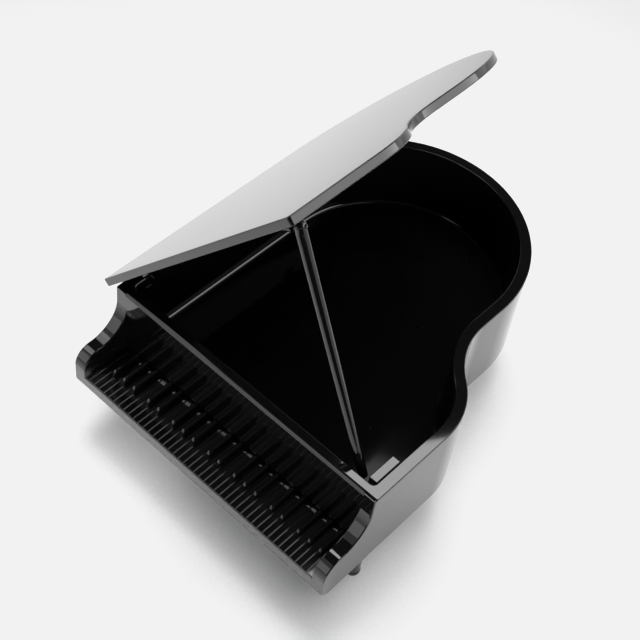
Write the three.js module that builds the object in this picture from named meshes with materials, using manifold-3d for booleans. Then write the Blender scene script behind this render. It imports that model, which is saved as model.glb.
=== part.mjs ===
// Miniature grand piano: a black plastic piano-shaped box on three turned legs, with a hinged lid held
// open by a prop stick. Millimetres, +X to the treble side, +Y to the tail, +Z up.
// The pieces are modelled from the front edge of the case's rim (y = 0), on the floor (z = 0), and
// the whole group is then centred over its own footprint.
import * as THREE from "three";
import { mergeVertices } from "three/addons/utils/BufferGeometryUtils.js";
import Module from "manifold-3d";

const wasm = await Module();
wasm.setup();

// ---- driving dimensions ----
const CASE_WIDTH = 100;
const CASE_HEIGHT = 31.5;
const LEG_HEIGHT = 18;
const WALL = 3.6; // rim wall
const FRONT_WALL = 3.4; // wall behind the keyboard; its front face is the fallboard
const RIM_Z = LEG_HEIGHT + CASE_HEIGHT; // top of the rim
const FLOOR_TOP = RIM_Z - 25.4; // inside floor of the box
const FLOOR_THICKNESS = 2.3;
const SKIRT_WALL = 2.6; // wall of the open recess under the floor
const GAP = 0.3; // between pieces that touch
const MARGIN = 1; // how far joined shapes run into each other, and cuts run past a face
const FRONT_RIM_RADIUS = 1.2; // rounding of the rim's front edge

// Outline of the rim, made of tangent arcs: shoulder, waist and round tail.
const HALF = CASE_WIDTH / 2;
const SHOULDER_RADIUS = 25;
const SHOULDER_Y = 30;
const WAIST_RADIUS = 25;
const TAIL_RADIUS = 41.25;
const TAIL_Y = 77.5;
const TAIL_X = TAIL_RADIUS - HALF;
const WAIST_CENTRE_X = TAIL_X + TAIL_RADIUS + WAIST_RADIUS;
const SHOULDER_X = HALF - SHOULDER_RADIUS;
const BEND = Math.acos((WAIST_CENTRE_X - SHOULDER_X) / (SHOULDER_RADIUS + WAIST_RADIUS));
const WAIST_CENTRE_Y = SHOULDER_Y + (SHOULDER_RADIUS + WAIST_RADIUS) * Math.sin(BEND);

// Keyboard end
const KEYBED_DEPTH = 16.5; // how far the arms stand out in front of the rim
const ARM_WIDTH = 4.3;
const ARM_HOLLOW_RADIUS = 10.5;
const ARM_NOSE_RADIUS = 5.6;
const ARM_NOSE_Z = RIM_Z - 22;
const FRONT_FOOT_RADIUS = 3.6; // rounded lower front edge
const KEY_TOP = RIM_Z - 25;
const KEYBED_TOP = RIM_Z - 27.3;
const LIP_TOP = KEY_TOP - 0.1; // the lip in front of the keys
const LIP_WIDTH = 0.5;
const LIP_GAP = 0.25;
const KEY_FRONT_Y = LIP_GAP + LIP_WIDTH - KEYBED_DEPTH;
const GROOVES = 43; // between 44 natural keys
const FIRST_GROOVE_X = -44.4;
const GROOVE_PITCH = 2.0875;
const FIRST_SHARP_X = -40.5;
const SHARP_PITCH = 2.07;
const SHARP_STEPS = [0, 2, 4, 7, 9, 12, 14, 16, 19, 21, 24, 26, 28, 31, 33, 36, 38, 40];
const GROOVE_WIDTH = 0.5;
const GROOVE_DEPTH = 0.45;
const SHARP_WIDTH = 1.2;
const SHARP_RISE = 2.3;
const SHARP_FRONT_Y = -10;
const SHARP_NOSE = 0.8; // how far the front of a sharp key leans back

// Lid and its hinge
const LID_THICKNESS = 2.6;
const LID_OVERHANG = 0.4;
const LID_FRONT_OVERHANG = 1.3;
const LID_CLEARANCE = 0.6; // closed lid above the rim
const LID_OPEN = THREE.MathUtils.degToRad(50.1);
const HINGE_X = -49.3;
const HINGE_Z = RIM_Z - 2.1;
const HINGE_STATIONS = { front: 10.5, rear: 74 };
const KNUCKLE_RADIUS = 1.4;
const KNUCKLE_LENGTH = 4; // the lid's knuckle
const CASE_KNUCKLE_LENGTH = 2.6; // one on each side of it
const NOTCH_DEPTH = 4.6; // in the wall, for the lid's knuckle to swing in
const PIN_RADIUS = 0.5;
const PIN_HOLE_RADIUS = 0.6;
const PIN_INSET = 0.2; // a hinge pin ends this far inside its barrels

// Prop stick, hung from the underside of the lid near its front treble corner
const PROP_RADIUS = 1.45;
const PROP_HEAD_RADIUS = 1.7;
const PROP_LENGTH = 79.4;
const PROP_PIVOT = new THREE.Vector3(40.4, 7, RIM_Z - 1.8); // with the lid closed
const PROP_LEAN = THREE.MathUtils.degToRad(24.1); // from the vertical, propped
const PROP_STOWED_TURN = THREE.MathUtils.degToRad(17); // inwards from the spine's direction, folded
const PROP_STOWED_DIP = THREE.MathUtils.degToRad(1); // below the lid's plane, folded

const LUG_START = PROP_RADIUS + GAP + 0.2; // along the fold axis, on the bass side of the stick
const LUG_END = LUG_START + 2.4;
const LUG_RADIUS = 1.7;
const PROP_PIN_PROUD = 0.6; // how far the pin stands out of the stick

// Prop rest: a block on the treble wall just under the rim, with a toe below the stick's foot
const REST = { inner: 43.4, outer: 46.1, front: 5, back: 14.7, top: RIM_Z - 0.3, bottom: RIM_Z - 12 };
const TOE = { from: 38.5, back: 6, top: RIM_Z - 7 };

// Legs
const LEG_INSET_X = 5.5;
const LEG_Y = 5.75;
const TAIL_LEG_Y = 104;
const LEG_FOOT_RADIUS = 2.4;
const LEG_NECK_RADIUS = 2.8; // under the collar
const LEG_COLLAR_RADIUS = 3.2;
const LEG_COLLAR_HEIGHT = 1.2;
const LEG_EDGE = 0.3;
const PEG_RADIUS = 1.5;
const PEG_LENGTH = 3;
const SOCKET_RADIUS = 1.8;
const SOCKET_BOSS_RADIUS = 3.6;

// ---- helpers ----
const X_AXIS = new THREE.Vector3(1, 0, 0);
const Y_AXIS = new THREE.Vector3(0, 1, 0);
const Z_AXIS = new THREE.Vector3(0, 0, 1);

function solid(geometry) {
  const bare = geometry.clone();
  bare.deleteAttribute("normal");
  bare.deleteAttribute("uv");
  const merged = mergeVertices(bare, 1e-4);
  return new wasm.Manifold(
    new wasm.Mesh({
      numProp: 3,
      vertProperties: new Float32Array(merged.attributes.position.array),
      triVerts: new Uint32Array(merged.index.array),
    }),
  );
}

function geometryOf(body) {
  const mesh = body.getMesh();
  const geometry = new THREE.BufferGeometry();
  geometry.setAttribute("position", new THREE.BufferAttribute(mesh.vertProperties, 3));
  geometry.setIndex(new THREE.BufferAttribute(mesh.triVerts, 1));
  geometry.computeVertexNormals();
  return geometry;
}

function box(low, high) {
  const size = high.map((value, i) => value - low[i]);
  const middle = high.map((value, i) => (value + low[i]) / 2);
  return solid(new THREE.BoxGeometry(...size).translate(...middle));
}

function plate(shape, bottom, top, curveSegments = 24) {
  const geometry = new THREE.ExtrudeGeometry(shape, {
    depth: top - bottom,
    bevelEnabled: false,
    curveSegments,
  });
  return solid(geometry.translate(0, 0, bottom));
}

// A profile drawn in the Y-Z plane, extruded from x = from to x = to.
function sideProfile(shape, from, to) {
  const geometry = new THREE.ExtrudeGeometry(shape, { depth: to - from, bevelEnabled: false });
  geometry.applyMatrix4(new THREE.Matrix4().makeBasis(Y_AXIS, Z_AXIS, X_AXIS));
  return solid(geometry.translate(from, 0, 0));
}

// A round bar from one point to another.
function bar(start, end, radius, segments = 24) {
  const along = end.clone().sub(start);
  const geometry = new THREE.CylinderGeometry(radius, radius, along.length(), segments);
  const turn = new THREE.Quaternion().setFromUnitVectors(Y_AXIS, along.clone().normalize());
  geometry.applyQuaternion(turn);
  const middle = start.clone().add(end).multiplyScalar(0.5);
  return solid(geometry.translate(middle.x, middle.y, middle.z));
}

function turned(points, x, y, segments = 32) {
  const profile = points.map(([radius, z]) => new THREE.Vector2(radius, z));
  const geometry = new THREE.LatheGeometry(profile, segments);
  geometry.rotateX(Math.PI / 2); // the lathe turns about Y
  return geometry.translate(x, y, 0);
}

// The rim's outline, moved outwards by offset, with its straight front edge at y = front.
function outline(offset, front) {
  const shape = new THREE.Shape();
  shape.moveTo(-HALF - offset, front);
  shape.lineTo(HALF + offset, front);
  shape.lineTo(HALF + offset, SHOULDER_Y);
  shape.absarc(SHOULDER_X, SHOULDER_Y, SHOULDER_RADIUS + offset, 0, BEND, false);
  const waistStart = Math.PI + BEND;
  shape.absarc(WAIST_CENTRE_X, WAIST_CENTRE_Y, WAIST_RADIUS - offset, waistStart, Math.PI, true);
  shape.lineTo(TAIL_X + TAIL_RADIUS + offset, TAIL_Y);
  shape.absarc(TAIL_X, TAIL_Y, TAIL_RADIUS + offset, 0, Math.PI, false);
  shape.closePath();
  return shape;
}

// ---- materials ----
const blackPlastic = new THREE.MeshStandardMaterial({ color: 0x060607, roughness: 0.08 });
const steel = new THREE.MeshStandardMaterial({ color: 0x9c9ea2, roughness: 0.3, metalness: 1 });

function piece(name, geometry, material = blackPlastic) {
  const mesh = new THREE.Mesh(geometry, material);
  mesh.name = name;
  return mesh;
}

// ---- case ----
// One arm's side view: a hollow under the rim's front edge, a rounded nose and a straight drop.
function armProfile() {
  const hollowZ = ARM_NOSE_Z + ARM_NOSE_RADIUS + ARM_HOLLOW_RADIUS;
  const noseY = ARM_NOSE_RADIUS - KEYBED_DEPTH;
  const shape = new THREE.Shape();
  shape.moveTo(MARGIN, LEG_HEIGHT);
  shape.lineTo(MARGIN, RIM_Z);
  shape.lineTo(0, RIM_Z);
  shape.lineTo(0, hollowZ);
  shape.absarc(-ARM_HOLLOW_RADIUS, hollowZ, ARM_HOLLOW_RADIUS, 0, -Math.PI / 2, true);
  shape.lineTo(noseY, ARM_NOSE_Z + ARM_NOSE_RADIUS);
  shape.absarc(noseY, ARM_NOSE_Z, ARM_NOSE_RADIUS, Math.PI / 2, Math.PI, false);
  addFrontFoot(shape);
  return shape;
}

function addFrontFoot(shape) {
  const y = FRONT_FOOT_RADIUS - KEYBED_DEPTH;
  const z = LEG_HEIGHT + FRONT_FOOT_RADIUS;
  shape.lineTo(-KEYBED_DEPTH, z);
  shape.absarc(y, z, FRONT_FOOT_RADIUS, Math.PI, 1.5 * Math.PI, false);
  shape.closePath();
}

function keybedProfile() {
  const shape = new THREE.Shape();
  shape.moveTo(MARGIN, LEG_HEIGHT);
  shape.lineTo(MARGIN, KEYBED_TOP);
  shape.lineTo(LIP_WIDTH - KEYBED_DEPTH, KEYBED_TOP);
  shape.lineTo(LIP_WIDTH - KEYBED_DEPTH, LIP_TOP);
  shape.lineTo(-KEYBED_DEPTH, LIP_TOP);
  addFrontFoot(shape);
  return shape;
}

// What to cut away along X to round the rim's upper front edge.
function frontRimCut() {
  const radius = FRONT_RIM_RADIUS;
  const shape = new THREE.Shape();
  shape.moveTo(-MARGIN, RIM_Z - radius);
  shape.lineTo(0, RIM_Z - radius);
  shape.absarc(radius, RIM_Z - radius, radius, Math.PI, Math.PI / 2, true);
  shape.lineTo(radius, RIM_Z + MARGIN);
  shape.lineTo(-MARGIN, RIM_Z + MARGIN);
  shape.closePath();
  return sideProfile(shape, -HALF - MARGIN, HALF + MARGIN);
}

function legPlaces() {
  return {
    leg_bass: [-HALF + LEG_INSET_X, LEG_Y],
    leg_treble: [HALF - LEG_INSET_X, LEG_Y],
    leg_tail: [TAIL_X, TAIL_LEG_Y],
  };
}

// The part of a knuckle line that is on the case: two short barrels with a notch between them.
function caseKnuckles(body, y) {
  const half = KNUCKLE_LENGTH / 2 + GAP;
  const at = (offset) => new THREE.Vector3(HINGE_X, y + offset, HINGE_Z);
  const reach = half + CASE_KNUCKLE_LENGTH;
  const notchLow = [-HALF - MARGIN, y - half, RIM_Z - NOTCH_DEPTH];
  const notchHigh = [WALL - HALF + MARGIN, y + half, RIM_Z + MARGIN];
  return body
    .add(bar(at(-reach), at(reach), KNUCKLE_RADIUS))
    .subtract(box(notchLow, notchHigh))
    .subtract(bar(at(-reach - GAP), at(reach + GAP), PIN_HOLE_RADIUS));
}

function caseBody() {
  let body = plate(outline(0, 0), LEG_HEIGHT, RIM_Z);
  body = body.add(sideProfile(armProfile(), -HALF, ARM_WIDTH - HALF));
  body = body.add(sideProfile(armProfile(), HALF - ARM_WIDTH, HALF));
  body = body.add(sideProfile(keybedProfile(), MARGIN - HALF, HALF - MARGIN));
  body = body.subtract(frontRimCut());
  body = body.subtract(plate(outline(-WALL, FRONT_WALL), FLOOR_TOP, RIM_Z + MARGIN));
  const recessTop = FLOOR_TOP - FLOOR_THICKNESS;
  const recessLow = LEG_HEIGHT - MARGIN;
  body = body.subtract(plate(outline(-SKIRT_WALL, SKIRT_WALL), recessLow, recessTop));
  for (const [x, y] of Object.values(legPlaces())) {
    const foot = new THREE.Vector3(x, y, LEG_HEIGHT);
    const bossTop = foot.clone().setZ(FLOOR_TOP - FLOOR_THICKNESS / 2);
    const socketTop = foot.clone().setZ(LEG_HEIGHT + PEG_LENGTH + GAP);
    body = body.add(bar(foot, bossTop, SOCKET_BOSS_RADIUS));
    body = body.subtract(bar(foot.clone().setZ(LEG_HEIGHT - MARGIN), socketTop, SOCKET_RADIUS));
  }
  for (const y of Object.values(HINGE_STATIONS)) body = caseKnuckles(body, y);
  return body;
}

// ---- keyboard ----
// A strip of natural keys parted by V grooves, with the sharp keys standing on it.
function keyboardBody() {
  const half = HALF - ARM_WIDTH - GAP;
  const strip = new THREE.Shape();
  strip.moveTo(-half, KEYBED_TOP + GAP);
  strip.lineTo(half, KEYBED_TOP + GAP);
  strip.lineTo(half, KEY_TOP);
  for (let groove = GROOVES - 1; groove >= 0; groove -= 1) {
    const x = FIRST_GROOVE_X + groove * GROOVE_PITCH;
    strip.lineTo(x + GROOVE_WIDTH / 2, KEY_TOP);
    strip.lineTo(x, KEY_TOP - GROOVE_DEPTH);
    strip.lineTo(x - GROOVE_WIDTH / 2, KEY_TOP);
  }
  strip.lineTo(-half, KEY_TOP);
  strip.closePath();
  const geometry = new THREE.ExtrudeGeometry(strip, {
    depth: -GAP - KEY_FRONT_Y,
    bevelEnabled: false,
  });
  geometry.applyMatrix4(
    new THREE.Matrix4().makeBasis(X_AXIS, Z_AXIS, Y_AXIS.clone().negate()),
  );
  let body = solid(geometry.translate(0, -GAP, 0));
  const top = KEY_TOP + SHARP_RISE;
  const sharp = new THREE.Shape();
  sharp.moveTo(-GAP, KEY_TOP - GROOVE_DEPTH);
  sharp.lineTo(-GAP, top);
  sharp.lineTo(SHARP_FRONT_Y + SHARP_NOSE, top);
  sharp.lineTo(SHARP_FRONT_Y, top - SHARP_NOSE);
  sharp.lineTo(SHARP_FRONT_Y, KEY_TOP - GROOVE_DEPTH);
  sharp.closePath();
  for (const step of SHARP_STEPS) {
    const x = FIRST_SHARP_X + step * SHARP_PITCH;
    body = body.add(sideProfile(sharp, x - SHARP_WIDTH / 2, x + SHARP_WIDTH / 2));
  }
  return body;
}

// ---- prop rest ----
function propRestBody() {
  const wallFace = FRONT_WALL + GAP;
  const block = box([REST.inner, REST.front, REST.bottom], [REST.outer, REST.back, REST.top]);
  const toe = box([TOE.from, wallFace, REST.bottom], [REST.outer, TOE.back, TOE.top]);
  return block.add(toe);
}

// ---- legs ----
function legGeometry(x, y) {
  const top = LEG_HEIGHT - GAP;
  const collarZ = top - LEG_COLLAR_HEIGHT;
  return turned(
    [
      [0, 0],
      [LEG_FOOT_RADIUS - LEG_EDGE, 0],
      [LEG_FOOT_RADIUS, LEG_EDGE],
      [LEG_NECK_RADIUS, collarZ],
      [LEG_COLLAR_RADIUS, collarZ + LEG_EDGE],
      [LEG_COLLAR_RADIUS, top],
      [PEG_RADIUS, top],
      [PEG_RADIUS, LEG_HEIGHT + PEG_LENGTH],
      [0, LEG_HEIGHT + PEG_LENGTH],
    ],
    x,
    y,
  );
}

// ---- prop stick directions, with the lid closed ----
const openTurn = new THREE.Quaternion().setFromAxisAngle(Y_AXIS, -LID_OPEN);
const proppedWorld = new THREE.Vector3(Math.sin(PROP_LEAN), 0, -Math.cos(PROP_LEAN));
const propped = proppedWorld.clone().applyQuaternion(openTurn.clone().invert());
const stowed = new THREE.Vector3(
  -Math.sin(PROP_STOWED_TURN) * Math.cos(PROP_STOWED_DIP),
  Math.cos(PROP_STOWED_TURN) * Math.cos(PROP_STOWED_DIP),
  -Math.sin(PROP_STOWED_DIP),
);
const foldAxis = propped.clone().cross(stowed).normalize();

// ---- lid, modelled closed ----
function alongFold(distance) {
  return PROP_PIVOT.clone().addScaledVector(foldAxis, distance);
}

function lidBody() {
  const underside = RIM_Z + LID_CLEARANCE;
  let body = plate(outline(LID_OVERHANG, -LID_FRONT_OVERHANG), underside, underside + LID_THICKNESS);
  for (const y of Object.values(HINGE_STATIONS)) {
    const from = new THREE.Vector3(HINGE_X, y - KNUCKLE_LENGTH / 2, HINGE_Z);
    const to = from.clone().setY(y + KNUCKLE_LENGTH / 2);
    const web = box(
      [HINGE_X - KNUCKLE_RADIUS, from.y, HINGE_Z],
      [HINGE_X + KNUCKLE_RADIUS, to.y, underside + MARGIN],
    );
    body = body.add(web).add(bar(from, to, KNUCKLE_RADIUS));
    from.y -= MARGIN;
    to.y += MARGIN;
    body = body.subtract(bar(from, to, PIN_HOLE_RADIUS));
  }
  // lug for the prop's pin: a barrel on the fold axis carried by a web under the lid
  const lug = bar(alongFold(-LUG_END), alongFold(-LUG_START), LUG_RADIUS);
  const middle = alongFold(-(LUG_START + LUG_END) / 2);
  const web = new THREE.BoxGeometry(LUG_END - LUG_START, 2 * LUG_RADIUS, 2 * LUG_RADIUS);
  web.translate(0, 0, LUG_RADIUS);
  const side = Z_AXIS.clone().cross(foldAxis).normalize();
  const up = foldAxis.clone().cross(side);
  web.applyMatrix4(new THREE.Matrix4().makeBasis(foldAxis, side, up));
  const carrier = solid(web.translate(middle.x, middle.y, middle.z));
  const belowLid = box([0, -HALF, 0], [HALF, HALF, underside + MARGIN]);
  body = body.add(lug.add(carrier).intersect(belowLid));
  return body.subtract(bar(alongFold(-LUG_END - MARGIN), alongFold(0), PIN_HOLE_RADIUS));
}

// ---- prop stick and its pin ----
function propStickBody() {
  const tip = PROP_PIVOT.clone();
  const foot = tip.clone().addScaledVector(propped, PROP_LENGTH);
  const head = new THREE.SphereGeometry(PROP_HEAD_RADIUS, 24, 16).translate(...tip.toArray());
  const through = PROP_HEAD_RADIUS + MARGIN;
  return bar(tip, foot, PROP_RADIUS, 16)
    .add(solid(head))
    .subtract(bar(alongFold(-through), alongFold(through), PIN_HOLE_RADIUS));
}

function pinBody(start, end) {
  return geometryOf(bar(start, end, PIN_RADIUS));
}

function hingePin(y) {
  const reach = KNUCKLE_LENGTH / 2 + GAP + CASE_KNUCKLE_LENGTH - PIN_INSET;
  const start = new THREE.Vector3(HINGE_X, y - reach, HINGE_Z);
  return pinBody(start, start.clone().setY(y + reach));
}

// ---- assembly ----
const piano = new THREE.Group();
piano.add(piece("case", geometryOf(caseBody())));
piano.add(piece("keyboard", geometryOf(keyboardBody())));
piano.add(piece("prop_rest", geometryOf(propRestBody())));
for (const [name, [x, y]] of Object.entries(legPlaces())) {
  piano.add(piece(name, legGeometry(x, y)));
}
for (const [end, y] of Object.entries(HINGE_STATIONS)) {
  piano.add(piece(`hinge_pin_${end}`, hingePin(y), steel));
}

// What opens with the lid turns about the hinge line.
const opening = new THREE.Group();
opening.position.set(HINGE_X, 0, HINGE_Z);
opening.quaternion.copy(openTurn);
const closed = new THREE.Group();
closed.position.set(-HINGE_X, 0, -HINGE_Z);
closed.add(piece("lid", geometryOf(lidBody())));
closed.add(piece("prop_stick", geometryOf(propStickBody())));
const propPinEnd = alongFold(PROP_RADIUS + PROP_PIN_PROUD);
closed.add(piece("prop_pin", pinBody(alongFold(-LUG_END), propPinEnd)));
opening.add(closed);
piano.add(opening);

const bounds = new THREE.Box3().setFromObject(piano, true);
const centre = bounds.getCenter(new THREE.Vector3());
piano.position.set(-centre.x, -centre.y, -bounds.min.z);

export default piano;
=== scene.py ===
"""Looks for a miniature grand piano: a black plastic piano-shaped box with a propped lid."""

import math

import bmesh
import bpy
from mathutils import Matrix, Vector


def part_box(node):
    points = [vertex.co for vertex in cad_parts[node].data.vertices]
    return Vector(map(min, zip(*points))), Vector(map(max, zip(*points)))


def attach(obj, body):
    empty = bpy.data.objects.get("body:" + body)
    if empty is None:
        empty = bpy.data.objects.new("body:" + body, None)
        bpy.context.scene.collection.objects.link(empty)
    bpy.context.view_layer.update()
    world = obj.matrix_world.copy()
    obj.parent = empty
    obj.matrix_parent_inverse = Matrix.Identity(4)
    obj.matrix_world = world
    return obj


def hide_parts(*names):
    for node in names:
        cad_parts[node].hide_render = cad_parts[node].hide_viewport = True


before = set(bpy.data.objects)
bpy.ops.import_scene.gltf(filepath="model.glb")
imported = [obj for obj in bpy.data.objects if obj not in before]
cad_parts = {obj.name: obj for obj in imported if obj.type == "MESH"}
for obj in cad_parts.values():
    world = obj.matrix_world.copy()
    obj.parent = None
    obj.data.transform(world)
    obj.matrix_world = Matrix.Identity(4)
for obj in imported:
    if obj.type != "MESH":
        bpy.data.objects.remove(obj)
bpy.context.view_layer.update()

# ---------------------------------------------------------------- dimensions, in millimetres
# Shapes are drawn with x = 0 on the keyboard's middle, y = 0 on the rim's front face and z = 0 on
# the table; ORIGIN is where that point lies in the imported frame.
MM = 0.001
CASE_HEIGHT = 31.5
HALF = 50.0
WALL = 3.6
FRONT_WALL = 3.4
FLOOR_THICKNESS = 2.3
SKIRT_WALL = 2.6
GAP = 0.3
SHOULDER_RADIUS = 25.0
SHOULDER_Y = 30.0
WAIST_RADIUS = 25.0
TAIL_RADIUS = 41.25
TAIL_Y = 77.5
TAIL_X = TAIL_RADIUS - HALF
SHOULDER_X = HALF - SHOULDER_RADIUS
WAIST_X = TAIL_X + TAIL_RADIUS + WAIST_RADIUS
BEND = math.acos((WAIST_X - SHOULDER_X) / (SHOULDER_RADIUS + WAIST_RADIUS))
WAIST_Y = SHOULDER_Y + (SHOULDER_RADIUS + WAIST_RADIUS) * math.sin(BEND)
KEYBED_DEPTH = 16.5
ARM_WIDTH = 4.3
ARM_NOSE_DROP = 22.0
FRONT_FOOT_RADIUS = 3.6
LID_THICKNESS = 2.6
LID_OPEN = math.radians(50.1)
HINGE_X = -49.3
HINGE_STATIONS = (10.5, 74.0)
KNUCKLE_RADIUS = 1.4
KNUCKLE_LENGTH = 4.0
CASE_KNUCKLE_LENGTH = 2.6
KNUCKLE_EDGE = 0.25
PIN_RADIUS = 0.5
PIN_EDGE = 0.18
PIN_HOLE_RADIUS = 0.6
PIN_HOLE_EDGE = 0.05
HINGE_PIN_SETBACK = 0.2
PEG_RADIUS = 1.5
PEG_LENGTH = 3.0
# depths below the rim
BOX_DEPTH = 25.4
HINGE_DROP = 2.1
KEY_DROP = 25.0
KEYBED_DROP = 27.3
PROP_PIVOT_DROP = 1.8
# a strip of flat skin beside a rounded edge, so that the edge's shading stays on the edge
FLAT_BAND = 0.5
# how far a cutting shape runs past the surface it cuts
CUT_PAST = 1


def mm_box(node):
    """A CAD node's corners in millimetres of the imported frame."""
    low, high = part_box(node)
    return Vector(low) / MM, Vector(high) / MM


keyboard_low, keyboard_high = mm_box("keyboard")
LEG_HEIGHT = mm_box("leg_treble")[1].z - PEG_LENGTH
RIM_Z = LEG_HEIGHT + CASE_HEIGHT
FLOOR_TOP = RIM_Z - BOX_DEPTH
HINGE_Z = RIM_Z - HINGE_DROP
KEY_TOP = RIM_Z - KEY_DROP
KEYBED_TOP = RIM_Z - KEYBED_DROP
ORIGIN = Vector(((keyboard_low.x + keyboard_high.x) / 2, keyboard_high.y + GAP, 0))
PROP_PIVOT = Vector((40.4, 7, RIM_Z - PROP_PIVOT_DROP))


# ---------------------------------------------------------------- mesh helpers
SMOOTH_ANGLE = math.radians(32)
WELD_DISTANCE = 1e-4
BEND_STEPS = 22
TAIL_STEPS = 72
CORNER_STEPS = 6


def link_mesh(name, bm):
    """Turns a bmesh into a linked object and frees it."""
    mesh = bpy.data.meshes.new(name)
    bm.to_mesh(mesh)
    bm.free()
    obj = bpy.data.objects.new(name, mesh)
    bpy.context.scene.collection.objects.link(obj)
    return obj


def finish_mesh(name, bm, body):
    """Turns a bmesh drawn in millimetres into a placed, shaded object riding on a CAD body."""
    bmesh.ops.recalc_face_normals(bm, faces=bm.faces)
    for face in bm.faces:
        face.smooth = True
    for edge in bm.edges:
        if len(edge.link_faces) == 2:
            edge.smooth = edge.calc_face_angle() < SMOOTH_ANGLE
    obj = link_mesh(name, bm)
    obj.data.transform(Matrix.Translation(ORIGIN * MM) @ Matrix.Scale(MM, 4))
    obj.data.update()
    weighted = obj.modifiers.new("weighted_normals", "WEIGHTED_NORMAL")
    weighted.keep_sharp = True
    weighted.weight = 100
    apply_modifiers(obj)
    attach(obj, body)
    return obj


def apply_modifiers(obj):
    with bpy.context.temp_override(object=obj, active_object=obj, selected_objects=[obj]):
        for modifier in list(obj.modifiers):
            bpy.ops.object.modifier_apply(modifier=modifier.name)


def boolean(bm, steps):
    """bm joined with or cut by other closed meshes, in order."""
    bmesh.ops.recalc_face_normals(bm, faces=bm.faces)
    base = link_mesh("base", bm)
    tools = []
    for operation, tool_bm in steps:
        bmesh.ops.recalc_face_normals(tool_bm, faces=tool_bm.faces)
        tool = link_mesh("cutter", tool_bm)
        tools.append(tool)
        modifier = base.modifiers.new("step", "BOOLEAN")
        modifier.operation = operation
        modifier.solver = "MANIFOLD"
        modifier.object = tool
    apply_modifiers(base)
    result = bmesh.new()
    result.from_mesh(base.data)
    for obj in tools + [base]:
        mesh = obj.data
        bpy.data.objects.remove(obj)
        bpy.data.meshes.remove(mesh)
    bmesh.ops.remove_doubles(result, verts=result.verts, dist=WELD_DISTANCE)
    return result


def add(bm):
    return "UNION", bm


def cut(bm):
    return "DIFFERENCE", bm


def moved(bm, matrix):
    bmesh.ops.transform(bm, matrix=matrix, verts=bm.verts)
    return bm


def loft(rings):
    """A closed skin through rings of the same number of points."""
    bm = bmesh.new()
    rows = [[bm.verts.new(point) for point in ring] for ring in rings]
    count = len(rows[0])
    for low, high in zip(rows, rows[1:]):
        for i in range(count):
            j = (i + 1) % count
            bm.faces.new((low[i], low[j], high[j], high[i]))
    bm.faces.new(reversed(rows[0]))
    bm.faces.new(rows[-1])
    return bm


def arc(centre, radius, start, end, steps):
    """Points on an arc, both ends included; angles in radians."""
    points = []
    for i in range(steps + 1):
        angle = start + (end - start) * i / steps
        points.append((centre[0] + radius * math.cos(angle), centre[1] + radius * math.sin(angle)))
    return points


def quarter_turn(steps):
    """Angles from 0 to 90 degrees, both included."""
    return [math.pi / 2 * i / steps for i in range(steps + 1)]


def edge_stations(radius, steps):
    """A rounded edge from the end face to the side: (inset from the side, depth from the face)."""
    return [
        (radius * (1 - math.sin(angle)), radius * (1 - math.cos(angle)))
        for angle in quarter_turn(steps)
    ]


def outline(offset, front, corner):
    """The rim's plan moved out by offset, its front edge at y = front, with rounded corners."""
    left, right = -HALF - offset, HALF + offset
    quarter = math.pi / 2
    points = arc((left + corner, front + corner), corner, 2 * quarter, 3 * quarter, CORNER_STEPS)
    points += arc((right - corner, front + corner), corner, 3 * quarter, 4 * quarter, CORNER_STEPS)
    points += arc((SHOULDER_X, SHOULDER_Y), SHOULDER_RADIUS + offset, 0, BEND, BEND_STEPS)
    waist = arc((WAIST_X, WAIST_Y), WAIST_RADIUS - offset, math.pi + BEND, math.pi, BEND_STEPS)
    points += waist[1:]
    points += arc((TAIL_X, TAIL_Y), TAIL_RADIUS + offset, 0, math.pi, TAIL_STEPS)
    return points


def ring(points, z):
    return [(x, y, z) for x, y in points]


def rounded_extrusion(profile_at, x_from, x_to, radius, steps=5):
    """profile_at(inset) in the Y-Z plane, extruded along X with rounded side edges."""
    edge = edge_stations(radius, steps)
    sections = [(inset, x_from + depth) for inset, depth in edge]
    sections += [(inset, x_to - depth) for inset, depth in reversed(edge)]
    return loft([[(x, y, z) for y, z in profile_at(inset)] for inset, x in sections])


def turned(profile, segments, matrix):
    """A solid of revolution about Z from (radius, z) points that start and end on the axis."""
    bm = bmesh.new()
    rows = []
    turns = [2 * math.pi * i / segments for i in range(segments)]
    for radius, z in profile:
        if radius == 0:
            rows.append([bm.verts.new((0, 0, z))])
        else:
            rows.append(
                [bm.verts.new((radius * math.cos(a), radius * math.sin(a), z)) for a in turns]
            )
    for low, high in zip(rows, rows[1:]):
        for i in range(segments):
            j = (i + 1) % segments
            if len(low) == 1:
                bm.faces.new((low[0], high[j], high[i]))
            elif len(high) == 1:
                bm.faces.new((low[i], low[j], high[0]))
            else:
                bm.faces.new((low[i], low[j], high[j], high[i]))
    return moved(bm, matrix)


def along(start, end):
    """The matrix that takes the Z axis from the origin onto the line from start to end."""
    heading = (end - start).normalized()
    return Matrix.Translation(start) @ heading.to_track_quat("Z", "Y").to_matrix().to_4x4()


def rounded_bar(start, end, radius, edge, segments=32):
    """A round bar with rounded ends."""
    length = (end - start).length
    core = radius - edge
    turn = quarter_turn(4)
    profile = [(0, 0)]
    profile += [(core + edge * math.sin(a), edge - edge * math.cos(a)) for a in turn]
    profile += [(core + edge * math.cos(a), length - edge + edge * math.sin(a)) for a in turn]
    profile.append((0, length))
    return turned(profile, segments, along(start, end))


def pin_hole(start, end):
    return cut(rounded_bar(start, end, PIN_HOLE_RADIUS, PIN_HOLE_EDGE, segments=20))


def plain_block(low, high):
    bm = bmesh.new()
    bmesh.ops.create_cube(bm, size=1)
    size = Vector(high) - Vector(low)
    middle = (Vector(high) + Vector(low)) / 2
    return moved(bm, Matrix.Translation(middle) @ Matrix.Diagonal((*size, 1)))


def rounded_block(low, high, edge):
    bm = plain_block(low, high)
    bmesh.ops.bevel(bm, geom=bm.edges[:], offset=edge, segments=3, affect="EDGES", profile=0.5)
    return bm


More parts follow.
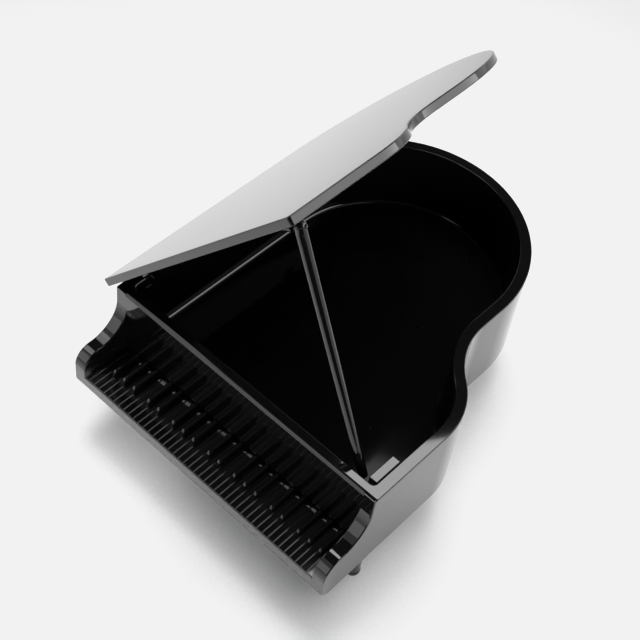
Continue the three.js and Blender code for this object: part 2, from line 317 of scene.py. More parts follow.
# ---------------------------------------------------------------- case
RIM_EDGE = 0.3
FRONT_RIM_EDGE = 1.2
BOTTOM_EDGE = 0.8
SKIRT_EDGE = 0.4
SKIRT_EDGE_SAG = 0.12
FLOOR_FILLET = 1.4
OUTER_CORNER = 0.45
INNER_CORNER = 1.6
ARM_EDGE = 0.4
ARM_TOP_DROP = 0.1
ARM_HOLLOW_RADIUS = 10.5
ARM_NOSE_RADIUS = 5.6
JOIN_DEPTH = 3.0
BED_INSET = 2
LIP_WIDTH = 0.5
LIP_EDGE = 0.08
LIP_STEP = 0.03
LIP_GAP = 0.03
LIP_TOP = KEY_TOP - LIP_STEP
SOCKET_RADIUS = 1.8
SOCKET_EDGE = 0.1
SOCKET_BOSS_RADIUS = 3.6
SOCKET_BOSS_EDGE = 0.3
NOTCH_DEPTH = LID_THICKNESS + 2
NOTCH_OUTSIDE = 3
NOTCH_EDGE = 0.2


def case_skin():
    """The recess under the floor, outside wall, rim, inside wall, fillet and box floor."""
    recess_top = FLOOR_TOP - FLOOR_THICKNESS
    stations = []  # (inward offset at the sides, at the front, z, corner radius)

    def station(depth, z, corner, front=None):
        stations.append((depth, depth if front is None else front, z, corner))

    # the recess, down its wall and over the skirt's lower edge
    station(SKIRT_WALL + FLAT_BAND, recess_top, INNER_CORNER)
    station(SKIRT_WALL, recess_top, INNER_CORNER)
    station(SKIRT_WALL, LEG_HEIGHT + SKIRT_EDGE, INNER_CORNER)
    station(SKIRT_WALL - SKIRT_EDGE_SAG, LEG_HEIGHT + SKIRT_EDGE_SAG, INNER_CORNER)
    station(SKIRT_WALL - SKIRT_EDGE, LEG_HEIGHT, INNER_CORNER)
    for depth, z in arc(
        (BOTTOM_EDGE, LEG_HEIGHT + BOTTOM_EDGE),
        BOTTOM_EDGE, math.radians(270), math.radians(180), steps=5,
    ):
        station(depth, z, OUTER_CORNER)
    # the front edge of the rim is rounder than its sides
    for angle in quarter_turn(10):
        rise = FRONT_RIM_EDGE * math.sin(angle)
        front = FRONT_RIM_EDGE - math.sqrt(FRONT_RIM_EDGE**2 - rise**2)
        side_rise = max(0, rise - FRONT_RIM_EDGE + RIM_EDGE)
        side = RIM_EDGE - math.sqrt(RIM_EDGE**2 - side_rise**2)
        station(side, RIM_Z - FRONT_RIM_EDGE + rise, OUTER_CORNER, front)
    # rim top and inner edge, then the inside wall's fillet onto the box floor
    for angle in reversed(quarter_turn(5)):
        inward = RIM_EDGE * math.cos(angle)
        z = RIM_Z - RIM_EDGE + RIM_EDGE * math.sin(angle)
        station(WALL - RIM_EDGE + inward, z, INNER_CORNER, FRONT_WALL - RIM_EDGE + inward)
    for angle in quarter_turn(8):
        shift = FLOOR_FILLET - FLOOR_FILLET * math.cos(angle)
        z = FLOOR_TOP + FLOOR_FILLET - FLOOR_FILLET * math.sin(angle)
        station(WALL + shift, z, INNER_CORNER + shift, FRONT_WALL + shift)
    shift = FLOOR_FILLET + FLAT_BAND
    station(WALL + shift, FLOOR_TOP, INNER_CORNER + shift, FRONT_WALL + shift)
    return loft([ring(outline(-side, front, corner), z) for side, front, z, corner in stations])


def front_foot(inset=0):
    """The rounded lower front edge that the arms and the key bed share."""
    centre = (FRONT_FOOT_RADIUS - KEYBED_DEPTH, LEG_HEIGHT + FRONT_FOOT_RADIUS)
    return arc(centre, FRONT_FOOT_RADIUS - inset, math.pi, 1.5 * math.pi, steps=14)


def arm_profile(inset):
    """Closed Y-Z outline of an arm, moved in by inset."""
    nose_z = RIM_Z - ARM_NOSE_DROP
    nose = (ARM_NOSE_RADIUS - KEYBED_DEPTH, nose_z)
    hollow = (-ARM_HOLLOW_RADIUS, nose_z + ARM_NOSE_RADIUS + ARM_HOLLOW_RADIUS)
    back = JOIN_DEPTH - inset
    top = RIM_Z - ARM_TOP_DROP - inset
    points = [(back, top), (inset, top)]
    points += arc(hollow, ARM_HOLLOW_RADIUS + inset, 0, -math.pi / 2, steps=22)
    points += arc(nose, ARM_NOSE_RADIUS - inset, math.pi / 2, math.pi, steps=16)
    points += front_foot(inset)
    points.append((back, LEG_HEIGHT + inset))
    return points


def keybed_profile():
    """Closed Y-Z outline of the key bed: a tray with a low lip in front."""
    lip_front, lip_back = -KEYBED_DEPTH, LIP_WIDTH - KEYBED_DEPTH
    edge_z = LIP_TOP - LIP_EDGE
    points = [(JOIN_DEPTH, KEYBED_TOP), (lip_back, KEYBED_TOP)]
    points += arc((lip_back - LIP_EDGE, edge_z), LIP_EDGE, 0, math.pi / 2, steps=3)
    points += arc((lip_front + LIP_EDGE, edge_z), LIP_EDGE, math.pi / 2, math.pi, steps=4)
    points += front_foot()
    points.append((JOIN_DEPTH, LEG_HEIGHT))
    return points


def leg_places():
    for name in ("leg_bass", "leg_treble", "leg_tail"):
        low, high = mm_box(name)
        yield name, (low.x + high.x) / 2 - ORIGIN.x, (low.y + high.y) / 2 - ORIGIN.y


def make_case():
    steps = []
    for x_from, x_to in ((-HALF, ARM_WIDTH - HALF), (HALF - ARM_WIDTH, HALF)):
        steps.append(add(rounded_extrusion(arm_profile, x_from, x_to, ARM_EDGE)))
    bed_sides = (BED_INSET - HALF, HALF - BED_INSET)
    steps.append(add(loft([[(x, y, z) for y, z in keybed_profile()] for x in bed_sides])))
    for _, x, y in leg_places():
        foot = Vector((x, y, LEG_HEIGHT))
        boss_top = Vector((x, y, FLOOR_TOP - FLOOR_THICKNESS / 2))
        socket_foot = Vector((x, y, LEG_HEIGHT - CUT_PAST))
        socket_top = Vector((x, y, LEG_HEIGHT + PEG_LENGTH + GAP))
        steps.append(add(rounded_bar(foot, boss_top, SOCKET_BOSS_RADIUS, SOCKET_BOSS_EDGE)))
        steps.append(cut(rounded_bar(socket_foot, socket_top, SOCKET_RADIUS, SOCKET_EDGE)))
    half = KNUCKLE_LENGTH / 2 + GAP
    reach = half + CASE_KNUCKLE_LENGTH
    for y in HINGE_STATIONS:
        start, end = Vector((HINGE_X, y - reach, HINGE_Z)), Vector((HINGE_X, y + reach, HINGE_Z))
        past = Vector((0, CUT_PAST, 0))
        steps.append(add(rounded_bar(start, end, KNUCKLE_RADIUS, KNUCKLE_EDGE)))
        # room for the lid's knuckle to swing, cut through the wall from outside
        notch_low = (-HALF - NOTCH_OUTSIDE, y - half, RIM_Z - NOTCH_DEPTH)
        notch_high = (WALL - HALF + CUT_PAST, y + half, RIM_Z + CUT_PAST)
        steps.append(cut(rounded_block(notch_low, notch_high, NOTCH_EDGE)))
        steps.append(pin_hole(start - past, end + past))
    return boolean(case_skin(), steps)


# ---------------------------------------------------------------- keyboard
GROOVES = 43
FIRST_GROOVE_X = -44.4
GROOVE_PITCH = 2.0875
GROOVE_HALF = 0.3
GROOVE_DEPTH = 0.45
# a groove's side, as (share of its half width, share of its depth)
GROOVE_SIDE = ((1.0, 0.0), (0.97, 0.04), (0.85, 0.13), (0.12, 1.0))
KEY_FRONT = LIP_WIDTH + LIP_GAP - KEYBED_DEPTH
KEY_EDGE = 0.08
KEY_BACK_FILLET = 1.3
FIRST_SHARP_X = -40.5
SHARP_PITCH = 2.07
SHARP_STEPS = (0, 2, 4, 7, 9, 12, 14, 16, 19, 21, 24, 26, 28, 31, 33, 36, 38, 40)
SHARP_WIDTH = 1.2
SHARP_RISE = 2.3
SHARP_ROOT = 0.6
SHARP_FRONT = -9.8
SHARP_SLOPE = 0.25
SHARP_NOSE = 1.0
SHARP_NOSE_END = math.pi * 0.95
SHARP_EDGE = 0.22


def key_path():
    """The keys' tops from a fillet at the fallboard to the rounded front edge: (y, z, inward)."""
    path = []
    fillet = KEY_BACK_FILLET
    for angle in quarter_turn(6):
        c, s = math.cos(-angle), math.sin(-angle)
        path.append((fillet * (c - 1) - GAP, KEY_TOP + fillet * (1 + s), (c, s)))
    for turn in quarter_turn(3):
        angle = math.pi / 2 + turn
        c, s = math.cos(angle), math.sin(angle)
        path.append((KEY_FRONT + KEY_EDGE * (1 + c), KEY_TOP - KEY_EDGE * (1 - s), (-c, -s)))
    path.append((KEY_FRONT, KEYBED_TOP + GAP + GROOVE_DEPTH, (1, 0)))
    return path


def key_section(half):
    """(x, depth) across all naturals: flat tops with softened edges, parted by grooves."""
    section = [(-half, 0.0)]
    for groove in range(GROOVES):
        middle = FIRST_GROOVE_X + groove * GROOVE_PITCH
        for out, down in GROOVE_SIDE:
            section.append((middle - out * GROOVE_HALF, down * GROOVE_DEPTH))
        for out, down in reversed(GROOVE_SIDE):
            section.append((middle + out * GROOVE_HALF, down * GROOVE_DEPTH))
    section.append((half, 0.0))
    return section


def make_keyboard():
    bm = bmesh.new()
    section = key_section(HALF - ARM_WIDTH - GAP)
    bottom = KEYBED_TOP + GAP
    rows = []
    for y, z, (dy, dz) in key_path():
        rows.append([bm.verts.new((x, y + depth * dy, z + depth * dz)) for x, depth in section])
    rows.append([bm.verts.new((x, KEY_FRONT + depth, bottom)) for x, depth in section])
    rows.append([bm.verts.new((x, -GAP, bottom)) for x, depth in section])
    closed = rows + [rows[0]]
    for low, high in zip(closed, closed[1:]):
        for i in range(len(section) - 1):
            bm.faces.new((low[i], low[i + 1], high[i + 1], high[i]))
    bm.faces.new([row[0] for row in rows])
    bm.faces.new([row[-1] for row in reversed(rows)])
    return boolean(bm, [add(sharp_key(FIRST_SHARP_X + step * SHARP_PITCH)) for step in SHARP_STEPS])


def sharp_profile(inset):
    """Closed Y-Z outline of a raised key with a sloped, rounded front, moved in by inset."""
    top = KEY_TOP + SHARP_RISE
    root = KEY_TOP - SHARP_ROOT + inset
    nose = (SHARP_FRONT + SHARP_NOSE, top - SHARP_NOSE)
    points = [(-GAP - inset, root), (-GAP - inset, top - inset)]
    points += arc(nose, SHARP_NOSE - inset, math.pi / 2, SHARP_NOSE_END, steps=5)
    points.append((SHARP_FRONT - SHARP_SLOPE + inset, root))
    return points


def sharp_key(x):
    half = SHARP_WIDTH / 2
    return rounded_extrusion(sharp_profile, x - half, x + half, SHARP_EDGE, steps=3)


# ---------------------------------------------------------------- lid, prop stick and pins
LID_OVERHANG = 0.4
LID_FRONT_OVERHANG = 1.3
LID_CLEARANCE = 0.6
LID_EDGE = 0.35
LID_CORNER = 0.9
LID_FACE_CORNER = 0.4
# how far the knuckles' leaves and the lug's web reach up into the plate
PLATE_JOIN = 1
LEAF_HALF = KNUCKLE_RADIUS - 0.02
LEAF_BELOW = 0.2
LEAF_EDGE = 0.15
PROP_RADIUS = 1.45
PROP_LENGTH = 79.4
PROP_LEAN = math.radians(24.1)
PROP_STOWED_TURN = math.radians(17)
PROP_STOWED_DIP = math.radians(1)
PROP_HEAD_RADIUS = PROP_RADIUS + 0.25
PROP_HEAD_TURN = math.pi / 2 + 0.33
PROP_TOP_RADIUS = 1.6
PROP_FOOT_RADIUS = 1.36
PROP_FOOT_EDGE = 0.5
PROP_HOLE_REACH = 4
PROP_PIN_PAST = 0.6
PROP_SHAFT_START = 1.7
PROP_NECK_Z = PROP_HEAD_RADIUS * 0.45 + 0.9
PROP_SHAFT_STEPS = 11
LUG_START = PROP_RADIUS + GAP + 0.2
LUG_END = LUG_START + 2.4
LUG_RADIUS = 1.7
LUG_WEB_BELOW = 0.2
LUG_WEB_HEIGHT = 4
LUG_WEB_EDGE = 0.2
REST_INNER_X = 43.4
REST_FRONT_Y = 5
TOE_BACK_Y = 6
TOE_DROP = 7
REST_EDGE = 0.22

opening = (
    Matrix.Translation((HINGE_X, 0, HINGE_Z))
    @ Matrix.Rotation(-LID_OPEN, 4, "Y")
    @ Matrix.Translation((-HINGE_X, 0, -HINGE_Z))
)
# the stick's directions when propped and when stowed, both as seen with the lid shut
propped_world = Vector((math.sin(PROP_LEAN), 0, -math.cos(PROP_LEAN)))
propped = Matrix.Rotation(LID_OPEN, 3, "Y") @ propped_world
stowed = Vector(
    (
        -math.sin(PROP_STOWED_TURN) * math.cos(PROP_STOWED_DIP),
        math.cos(PROP_STOWED_TURN) * math.cos(PROP_STOWED_DIP),
        -math.sin(PROP_STOWED_DIP),
    )
)
fold_axis = propped.cross(stowed).normalized()


def along_fold(distance):
    return PROP_PIVOT + fold_axis * distance


def lid_plate(underside, top):
    """The lid's plate with rounded edges, faces at the heights underside and top."""
    def plan(inset, corner, z):
        return ring(outline(LID_OVERHANG - inset, -LID_FRONT_OVERHANG + inset, corner), z)

    edge = edge_stations(LID_EDGE, 4)
    rings = [plan(LID_EDGE + FLAT_BAND, LID_FACE_CORNER, underside)]
    rings += [plan(inset, LID_CORNER - inset, underside + depth) for inset, depth in edge]
    rings += [plan(inset, LID_CORNER - inset, top - depth) for inset, depth in reversed(edge)]
    rings.append(plan(LID_EDGE + FLAT_BAND, LID_FACE_CORNER, top))
    return loft(rings)


def lug_web(top):
    """The web that carries the lug, from the barrel up to the height top, inside the plate."""
    side = Vector((0, 0, 1)).cross(fold_axis).normalized()
    up = fold_axis.cross(side)
    half = (LUG_END - LUG_START) / 2
    low, high = (-half, -LUG_RADIUS, -LUG_WEB_BELOW), (half, LUG_RADIUS, LUG_WEB_HEIGHT)
    web = rounded_block(low, high, LUG_WEB_EDGE)
    basis = Matrix((fold_axis, side, up)).transposed().to_4x4()
    middle = along_fold(-(LUG_START + LUG_END) / 2)
    moved(web, Matrix.Translation(middle) @ basis)
    # all the space around the web below that height: only the web's top is trimmed
    space = plain_block((0, -20, 0), (HALF, 40, top))
    return boolean(web, [("INTERSECT", space)])


def make_lid():
    underside = RIM_Z + LID_CLEARANCE
    steps = []
    for y in HINGE_STATIONS:
        start = Vector((HINGE_X, y - KNUCKLE_LENGTH / 2, HINGE_Z))
        end = Vector((HINGE_X, y + KNUCKLE_LENGTH / 2, HINGE_Z))
        past = Vector((0, CUT_PAST, 0))
        leaf_low = (HINGE_X - LEAF_HALF, start.y, HINGE_Z - LEAF_BELOW)
        leaf_high = (HINGE_X + LEAF_HALF, end.y, underside + PLATE_JOIN)
        steps.append(add(rounded_block(leaf_low, leaf_high, LEAF_EDGE)))
        steps.append(add(rounded_bar(start, end, KNUCKLE_RADIUS, KNUCKLE_EDGE)))
        steps.append(pin_hole(start - past, end + past))
    barrel = rounded_bar(along_fold(-LUG_END), along_fold(-LUG_START), LUG_RADIUS, KNUCKLE_EDGE)
    steps.append(add(barrel))
    steps.append(add(lug_web(underside + PLATE_JOIN)))
    steps.append(pin_hole(along_fold(-LUG_END - CUT_PAST), along_fold(0)))
    return moved(boolean(lid_plate(underside, underside + LID_THICKNESS), steps), opening)


def make_prop():
    """A slightly tapered round stick with a ball head and a rounded foot."""
    profile = [(0, -PROP_HEAD_RADIUS)]
    for i in range(1, 9):
        angle = -math.pi / 2 + PROP_HEAD_TURN * i / 8
        profile.append((PROP_HEAD_RADIUS * math.cos(angle), PROP_HEAD_RADIUS * math.sin(angle)))
    profile.append((PROP_TOP_RADIUS, PROP_NECK_Z))
    taper = PROP_FOOT_RADIUS - PROP_TOP_RADIUS
    shaft = PROP_LENGTH - PROP_SHAFT_START - PROP_FOOT_EDGE
    for i in range(1, PROP_SHAFT_STEPS + 1):
        share = i / PROP_SHAFT_STEPS
        profile.append((PROP_TOP_RADIUS + taper * share, PROP_SHAFT_START + shaft * share))
    for angle in quarter_turn(4)[1:]:
        radius = PROP_FOOT_RADIUS - PROP_FOOT_EDGE + PROP_FOOT_EDGE * math.cos(angle)
        profile.append((radius, PROP_LENGTH - PROP_FOOT_EDGE + PROP_FOOT_EDGE * math.sin(angle)))
    profile.append((0, PROP_LENGTH))
    foot = PROP_PIVOT + propped * PROP_LENGTH
    bm = turned(profile, 40, along(PROP_PIVOT, foot))
    hole = pin_hole(along_fold(-PROP_HOLE_REACH), along_fold(PROP_HOLE_REACH))
    return moved(boolean(bm, [hole]), opening)


def make_pin(start, end):
    return rounded_bar(start, end, PIN_RADIUS, PIN_EDGE, segments=24)


def make_prop_rest():
    """The block in the treble corner, and the toe on it that stops the stick's foot."""
    low, high = mm_box("prop_rest")
    low, high = low - ORIGIN, high - ORIGIN
    block = rounded_block((REST_INNER_X, REST_FRONT_Y, low.z), high, REST_EDGE)
    toe = rounded_block(low, (high.x, TOE_BACK_Y, RIM_Z - TOE_DROP), REST_EDGE)
    return boolean(block, [add(toe)])


# a leg's foot ring as (radius, height), and its collar as (radius, height above the leg's top)
LEG_FOOT = (
    (0, 0), (2.1, 0), (2.25, 0.06), (2.36, 0.2), (2.4, 0.4), (2.4, 1.2), (2.36, 1.4),
    (2.25, 1.55), (2.2, 1.7),
)
LEG_COLLAR = (
    (3.0, -1.35), (3.1, -1.1), (3.15, -0.8), (3.15, -0.3), (3.1, -0.1), (2.95, 0), (PEG_RADIUS, 0),
)
LEG_SHAFT_RADIUS = 2.2
LEG_SHAFT_FLARE = 0.6
LEG_SHAFT_START = 1.9
LEG_SHAFT_SHORTENING = 3.5
LEG_SHAFT_STEPS = 8
PEG_EDGE = 0.3


def make_leg(x, y):
    """A turned leg: a small foot ring, a shaft that flares upwards, a collar and the peg."""
    top = LEG_HEIGHT - GAP
    peg_top = LEG_HEIGHT + PEG_LENGTH
    profile = list(LEG_FOOT)
    for i in range(LEG_SHAFT_STEPS + 1):
        share = i / LEG_SHAFT_STEPS
        radius = LEG_SHAFT_RADIUS + LEG_SHAFT_FLARE * share**1.4
        profile.append((radius, LEG_SHAFT_START + (top - LEG_SHAFT_SHORTENING) * share))
    profile += [(radius, top + z) for radius, z in LEG_COLLAR]
    profile += [(PEG_RADIUS, peg_top - PEG_EDGE), (PEG_RADIUS - PEG_EDGE, peg_top), (0, peg_top)]
    return turned(profile, 48, Matrix.Translation((x, y, 0)))


# ---------------------------------------------------------------- materials
class NodeTree:
    """Short ways to add shader nodes and link them; a value may be a number or an output."""

    def __init__(self, data):
        self.nodes, self.links = data.node_tree.nodes, data.node_tree.links

    def object_coords(self):
        return self.nodes.new("ShaderNodeTexCoord").outputs["Object"]

    def feed(self, socket, value):
        if isinstance(value, bpy.types.NodeSocket):
            self.links.new(value, socket)
        else:
            socket.default_value = value

    def noise(self, coords, scale, detail):
        node = self.nodes.new("ShaderNodeTexNoise")
        for name, value in (("Vector", coords), ("Scale", scale), ("Detail", detail)):
            self.feed(node.inputs[name], value)
        return node.outputs["Fac"]

    def ramp(self, source, low, high, to_low, to_high, interpolation="LINEAR"):
        node = self.nodes.new("ShaderNodeMapRange")
        node.interpolation_type = interpolation
        for name, value in (
            ("Value", source), ("From Min", low), ("From Max", high),
            ("To Min", to_low), ("To Max", to_high),
        ):
            self.feed(node.inputs[name], value)
        return node.outputs["Result"]

    def math(self, operation, a, b):
        node = self.nodes.new("ShaderNodeMath")
        node.operation = operation
        self.feed(node.inputs[0], a)
        self.feed(node.inputs[1], b)
        return node.outputs[0]

    def mix(self, factor, a, b, blend="MIX"):
        node = self.nodes.new("ShaderNodeMix")
        node.data_type = "RGBA"
        node.blend_type = blend
        for name, value in (("Factor", factor), ("A", a), ("B", b)):
            self.feed(node.inputs[name], value)
        return node.outputs["Result"]

    def split(self, vector):
        node = self.nodes.new("ShaderNodeSeparateXYZ")
        self.feed(node.inputs["Vector"], vector)
        return node.outputs


def new_material(name):
    material = bpy.data.materials.new(name)
    material.use_nodes = True
    tree = NodeTree(material)
    return material, tree, tree.nodes["Principled BSDF"]


PLASTIC_IOR = 1.53
SPECULAR = 0.5
FLOOR_DULLING = 0.85
BLACK = (0.0022, 0.0021, 0.0024, 1)
GROOVE_DUST = (0.12, 0.12, 0.125, 1)
# colour of the painted sheen on the front faces of the key bed and arms
FRONT_SHEEN_COLOUR = (0.062, 0.061, 0.064, 1)
SPECK_COLOUR = (0.09, 0.09, 0.088, 1)
SPECK_COVER = 0.6
SPECK_ROUGHNESS = 0.35
SMUDGE_ROUGHNESS = 0.05
RIPPLE_HEIGHT = 0.25
FINE_HEIGHT = 0.01
STEEL_DARK = (0.42, 0.42, 0.43, 1)
STEEL_LIGHT = (0.5, 0.5, 0.5, 1)


def groove_dust_and_painted_shade(tree, coords):
    """Dust low in the grooves, cut back behind the sharps' fronts as painted shade for the
    fallboard's shadow.
    """
    at = tree.split(coords)
    low_from, low_to = (KEY_TOP - 0.1) * MM, (KEY_TOP - 0.25) * MM
    settled = tree.ramp(at["Z"], low_from, low_to, 0.0, 1.0)
    # painted shade: behind this line, towards the fallboard, the dust colour is cut back to a
    # little
    shade_from = (ORIGIN.y + SHARP_FRONT) * MM
    return tree.math(
        "MULTIPLY", settled, tree.ramp(at["Y"], shade_from - MM, shade_from + MM, 1.0, 0.12)
    )


def painted_front_sheen(tree, coords):
    """Painted sheen: a lighter colour, with added roughness, on the foremost faces of the key bed
    and arms.
    """
    at = tree.split(coords)
    face_y = (ORIGIN.y - KEYBED_DEPTH) * MM
    nose_z = (RIM_Z - ARM_NOSE_DROP) * MM
    forward = tree.ramp(at["Y"], face_y + 3.0 * MM, face_y + 1.0 * MM, 0.0, 1.0)
    return tree.math(
        "MULTIPLY", forward, tree.ramp(at["Z"], nose_z + MM, nose_z - 2 * MM, 0.0, 1.0)
    )


def box_floor(tree, coords):
    """The upward faces at the height of the box floor."""
    normal = tree.nodes.new("ShaderNodeNewGeometry").outputs["Normal"]
    flat = tree.ramp(tree.split(normal)["Z"], 0.9, 0.97, 0.0, 1.0)
    low_from, low_to = (FLOOR_TOP + 0.6) * MM, (FLOOR_TOP + 0.2) * MM
    return tree.math(
        "MULTIPLY", flat, tree.ramp(tree.split(coords)["Z"], low_from, low_to, 0.0, 1.0)
    )


def gloss_black(name, roughness, scratch=1.0, dust_and_painted_light=None, dull_floor=False):
    """Polished black moulding: uneven gloss, dust specks in patches and a faint ripple.
    The fourth argument is (mask, colour, added roughness) for one marked region: groove dust
    with painted shade on the keys, a painted sheen on the case's front faces; a dull floor keeps
    the floor of the box from mirroring."""
    material, tree, shader = new_material(name)
    coords = tree.object_coords()
    broad = tree.noise(coords, scale=28, detail=4)
    smudges = tree.ramp(broad, 0.45, 0.75, 0.0, SMUDGE_ROUGHNESS * scratch)
    specks = tree.nodes.new("ShaderNodeTexVoronoi")
    tree.feed(specks.inputs["Scale"], 420)
    tree.feed(specks.inputs["Vector"], coords)
    speck = tree.ramp(specks.outputs["Distance"], 0.06, 0.03, 0.0, 1.0)
    patch = tree.ramp(tree.noise(coords, scale=60, detail=2), 0.52, 0.62, 0.0, 1.0)
    dust = tree.math("MULTIPLY", speck, patch)
    rough = tree.math("ADD", smudges, roughness)
    rough = tree.math("ADD", rough, tree.math("MULTIPLY", dust, SPECK_ROUGHNESS))
    colour = tree.mix(tree.math("MULTIPLY", dust, SPECK_COVER), BLACK, SPECK_COLOUR)
    if dust_and_painted_light is not None:
        # the marked region: groove dust with painted shade on the keys, a painted sheen on the
        # case's front
        mask_of, dust_and_paint_colour, dust_and_paint_roughness = dust_and_painted_light
        mask = mask_of(tree, coords)
        colour = tree.mix(mask, colour, dust_and_paint_colour)
        rough = tree.math("ADD", rough, tree.math("MULTIPLY", mask, dust_and_paint_roughness))
    specular = SPECULAR
    if dull_floor:
        dulled = tree.math("MULTIPLY", box_floor(tree, coords), FLOOR_DULLING)
        specular = tree.math("MULTIPLY", tree.math("SUBTRACT", 1.0, dulled), SPECULAR)
    ripple = tree.math("MULTIPLY", tree.noise(coords, scale=70, detail=2), RIPPLE_HEIGHT)
    fine = tree.math("MULTIPLY", tree.noise(coords, scale=900, detail=2), FINE_HEIGHT)
    bump = tree.nodes.new("ShaderNodeBump")
    tree.feed(bump.inputs["Strength"], 0.12)
    tree.feed(bump.inputs["Distance"], 0.0001)
    tree.feed(bump.inputs["Height"], tree.math("ADD", ripple, fine))
    for socket, value in (
        ("Base Color", colour), ("Roughness", rough), ("IOR", PLASTIC_IOR),
        ("Specular IOR Level", specular), ("Normal", bump.outputs["Normal"]),
    ):
        tree.feed(shader.inputs[socket], value)
    return material


def steel(name):
    material, tree, shader = new_material(name)
    grain = tree.noise(tree.object_coords(), scale=800, detail=2)
    tree.feed(shader.inputs["Metallic"], 1.0)
    tree.feed(shader.inputs["Roughness"], tree.ramp(grain, 0.0, 1.0, 0.25, 0.42))
    tree.feed(shader.inputs["Base Color"], tree.mix(grain, STEEL_DARK, STEEL_LIGHT))
    return material


# the case carries a painted sheen on the front faces of its key bed and arms
case_black = gloss_black("case_black", 0.045, dust_and_painted_light=(painted_front_sheen, FRONT_SHEEN_COLOUR, 0.2), dull_floor=True)
lid_black = gloss_black("lid_black", 0.05, scratch=1.4)
# the keys' grooves carry dust, with painted shade behind the sharps' fronts
key_black = gloss_black("key_black", 0.06, dust_and_painted_light=(groove_dust_and_painted_shade, GROOVE_DUST, 0.3))
pin_steel = steel("pin_steel")


# ---------------------------------------------------------------- pieces
def place(name, bm, body, material, slot, *nodes):
    obj = finish_mesh(name, bm, body)
    obj.data.materials.append(material)
    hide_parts(*nodes)


place("case_shell", make_case(), "case", case_black, "black_case", "case")
place("key_strip", make_keyboard(), "case", key_black, "black_keys", "keyboard")
place("rest_block", make_prop_rest(), "case", case_black, "black_case", "prop_rest")
place("lid_panel", make_lid(), "lid", lid_black, "black_lid", "lid")
place("lid_stick", make_prop(), "prop", case_black, "black_case", "prop_stick")
for leg_name, leg_x, leg_y in leg_places():
    place("turned_" + leg_name, make_leg(leg_x, leg_y), "case", case_black, "black_case", leg_name)
pin_reach = KNUCKLE_LENGTH / 2 + GAP + CASE_KNUCKLE_LENGTH - HINGE_PIN_SETBACK
for end, station in zip(("front", "rear"), HINGE_STATIONS):
    pin_start = Vector((HINGE_X, station - pin_reach, HINGE_Z))
    pin_end = Vector((HINGE_X, station + pin_reach, HINGE_Z))
    place("wire_" + end, make_pin(pin_start, pin_end), "case", pin_steel, "steel_pin",
          "hinge_pin_" + end)
prop_peg = make_pin(along_fold(-LUG_END), along_fold(PROP_RADIUS + PROP_PIN_PAST))
place("peg_prop", moved(prop_peg, opening), "lid", case_black, "black_case", "prop_pin")


# ---------------------------------------------------------------- stage, in metres
LIGHT_TARGET = Vector((0.02, -0.02, 0.036))
FLOOR_SIZE = 30
PAPER_DARK = (0.78, 0.78, 0.785, 1)
PAPER_LIGHT = (0.88, 0.88, 0.88, 1)
# painted shade on the floor: its colour darkens between these two radii, down to the last factor
PAINTED_SHADE_START = 0.12
PAINTED_SHADE_END = 0.29
PAINTED_SHADE_LEVEL = 0.62
FLAG_BLACK = (0.002, 0.002, 0.002, 1)
ROOM_LIGHT = 0.04
BAND_LIGHT = 1.3
BAND_TOP = math.sin(math.radians(6))
BAND_END = math.sin(math.radians(33))


def make_floor():
    """A sheet of pale paper, with painted shade that darkens it away from the piano."""
    bpy.ops.mesh.primitive_grid_add(x_subdivisions=8, y_subdivisions=8, size=FLOOR_SIZE)
    floor = bpy.context.object
    floor.name = "floor"
    material, tree, shader = new_material("pale_floor")
    coords = tree.object_coords()
    paper = tree.mix(tree.noise(coords, scale=900, detail=3), PAPER_DARK, PAPER_LIGHT)
    distance = tree.nodes.new("ShaderNodeVectorMath")
    distance.operation = "LENGTH"
    tree.feed(distance.inputs[0], coords)
    # painted shade: the paper's colour darkened with distance from the piano
    painted_shade = tree.ramp(
        distance.outputs["Value"], PAINTED_SHADE_START, PAINTED_SHADE_END, 1.0, PAINTED_SHADE_LEVEL, "SMOOTHSTEP"
    )
    tree.feed(shader.inputs["Base Color"], tree.mix(1.0, paper, painted_shade, "MULTIPLY"))
    tree.feed(shader.inputs["Roughness"], 0.75)
    tree.feed(shader.inputs["Specular IOR Level"], 0.2)
    floor.data.materials.append(material)


def direction(azimuth, elevation):
    """Towards a light. Azimuth 0 is behind the piano (+Y), 90 on its treble side (+X)."""
    a, e = math.radians(azimuth), math.radians(elevation)
    return Vector((math.sin(a) * math.cos(e), math.cos(a) * math.cos(e), math.sin(e)))


def add_light(data, away, distance):
    obj = bpy.data.objects.new(data.name, data)
    bpy.context.scene.collection.objects.link(obj)
    obj.location = LIGHT_TARGET + away * distance
    obj.rotation_euler = (-away).to_track_quat("-Z", "Y").to_euler()
    return obj


def soft_light(name, azimuth, elevation, spread, irradiance):
    """A wide, even source that lights dull surfaces and casts the soft shadows."""
    data = bpy.data.lights.new(name, "SUN")
    data.angle = math.radians(spread)
    data.energy = irradiance
    add_light(data, direction(azimuth, elevation), 1.0).visible_glossy = False


def reflection_card(name, azimuth, elevation, distance, width, height, radiance):
    """A white card that only shows in the polished surfaces."""
    data = bpy.data.lights.new(name, "AREA")
    data.shape = "RECTANGLE"
    data.size = width
    data.size_y = height
    data.energy = radiance * math.pi * width * height
    add_light(data, direction(azimuth, elevation), distance).visible_diffuse = False


def black_flag(azimuth, distance, width, height):
    """A standing black card that only shows in the polished surfaces."""
    bm = bmesh.new()
    bmesh.ops.create_grid(bm, x_segments=2, y_segments=2, size=0.5)
    away = direction(azimuth, 0)
    facing = away.to_track_quat("Z", "Y").to_matrix().to_4x4()
    place_at = Matrix.Translation(away * distance + Vector((0, 0, height / 2)))
    moved(bm, place_at @ facing @ Matrix.Diagonal((width, height, 1, 1)))
    flag = link_mesh("flag", bm)
    material, tree, shader = new_material("flag_black")
    tree.feed(shader.inputs["Base Color"], FLAG_BLACK)
    tree.feed(shader.inputs["Roughness"], 0.9)
    flag.data.materials.append(material)
    flag.visible_camera = False
    flag.visible_diffuse = False
    flag.visible_shadow = False


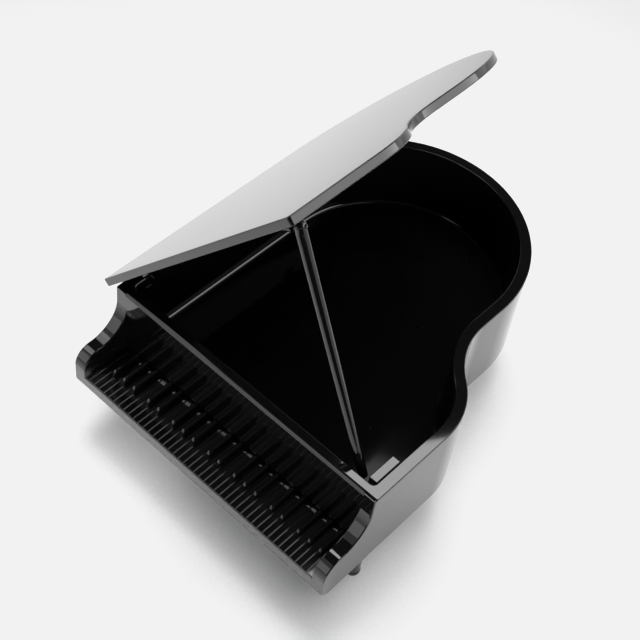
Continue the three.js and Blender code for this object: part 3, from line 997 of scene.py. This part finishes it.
def studio_world():
    """A dark room with a bright band behind the piano, low down."""
    world = bpy.data.worlds.new("studio")
    bpy.context.scene.world = world
    world.use_nodes = True
    tree = NodeTree(world)
    background = tree.nodes["Background"]
    tree.feed(background.inputs["Color"], (1, 1, 1, 1))
    heading = tree.split(tree.nodes.new("ShaderNodeTexCoord").outputs["Generated"])
    band = tree.ramp(heading["Z"], BAND_TOP, BAND_END, 1.0, 0.0, "SMOOTHSTEP")
    behind = tree.ramp(heading["Y"], -0.2, 0.25, 0.0, 1.0, "SMOOTHSTEP")
    both = tree.math("MULTIPLY", band, behind)
    strength = tree.ramp(both, 0.0, 1.0, ROOM_LIGHT, BAND_LIGHT, "SMOOTHSTEP")
    tree.feed(background.inputs["Strength"], strength)


make_floor()
soft_light("key", azimuth=-45, elevation=69, spread=30, irradiance=2.15)
soft_light("top", azimuth=80, elevation=80, spread=52, irradiance=1.65)
soft_light("left_fill", azimuth=-78, elevation=19, spread=22, irradiance=1.75)
soft_light("low_fill", azimuth=122, elevation=9, spread=26, irradiance=2.5)
for card in (
    # name, azimuth, elevation, distance, width, height, radiance
    ("top_card", -28, 61.5, 0.8, 0.35, 0.16, 6.9),
    ("front_card", -150, 20, 0.6, 0.45, 0.42, 1.7),
    ("front_upper_card", -150, 50, 0.6, 0.45, 0.2, 0.5),
    ("left_card", -108, 45, 0.8, 0.35, 0.5, 2.6),
    ("right_card", 48, 31, 0.8, 0.9, 0.46, 3.4),
):
    reflection_card(*card)
black_flag(azimuth=134, distance=0.22, width=0.3, height=0.09)
studio_world()

# ---------------------------------------------------------------- camera and picture
CAMERA_PLACE = Vector((0.14754, -0.22097, 0.35335))
CAMERA_LOOK = Vector((-0.372886, 0.517161, -0.770390))
CAMERA_ROLL = math.radians(9.07)
SENSOR_WIDTH = 36
FOCAL_LENGTH = 77.33
CURVE_END = 8
WHITEST = 0.915
# (light in the scene, light in the picture)
SHOULDER = ((0.6, 0.6), (0.85, 0.82), (1.05, 0.9), (1.4, 0.912))

camera_data = bpy.data.cameras.new("camera")
camera_data.sensor_width = SENSOR_WIDTH
camera_data.lens = FOCAL_LENGTH
camera_data.clip_start = 0.01
camera_data.clip_end = 20
camera = bpy.data.objects.new("camera", camera_data)
bpy.context.scene.collection.objects.link(camera)
camera.rotation_mode = "QUATERNION"
camera.location = CAMERA_PLACE
level = CAMERA_LOOK.to_track_quat("-Z", "Y")
camera.rotation_quaternion = level @ Matrix.Rotation(CAMERA_ROLL, 3, "Z").to_quaternion()
bpy.context.scene.camera = camera

view = bpy.context.scene.view_settings
view.view_transform = "Standard"
# a camera's soft shoulder: whites settle just under the paper white
view.use_curve_mapping = True
curve = view.curve_mapping
curve.clip_max_x = CURVE_END
curve.clip_max_y = CURVE_END
curve.extend = "HORIZONTAL"
shoulder = curve.curves[3].points
shoulder[0].location = (0, 0)
shoulder[1].location = (CURVE_END, WHITEST)
for scene_light, picture_light in SHOULDER:
    shoulder.new(scene_light, picture_light)
curve.update()
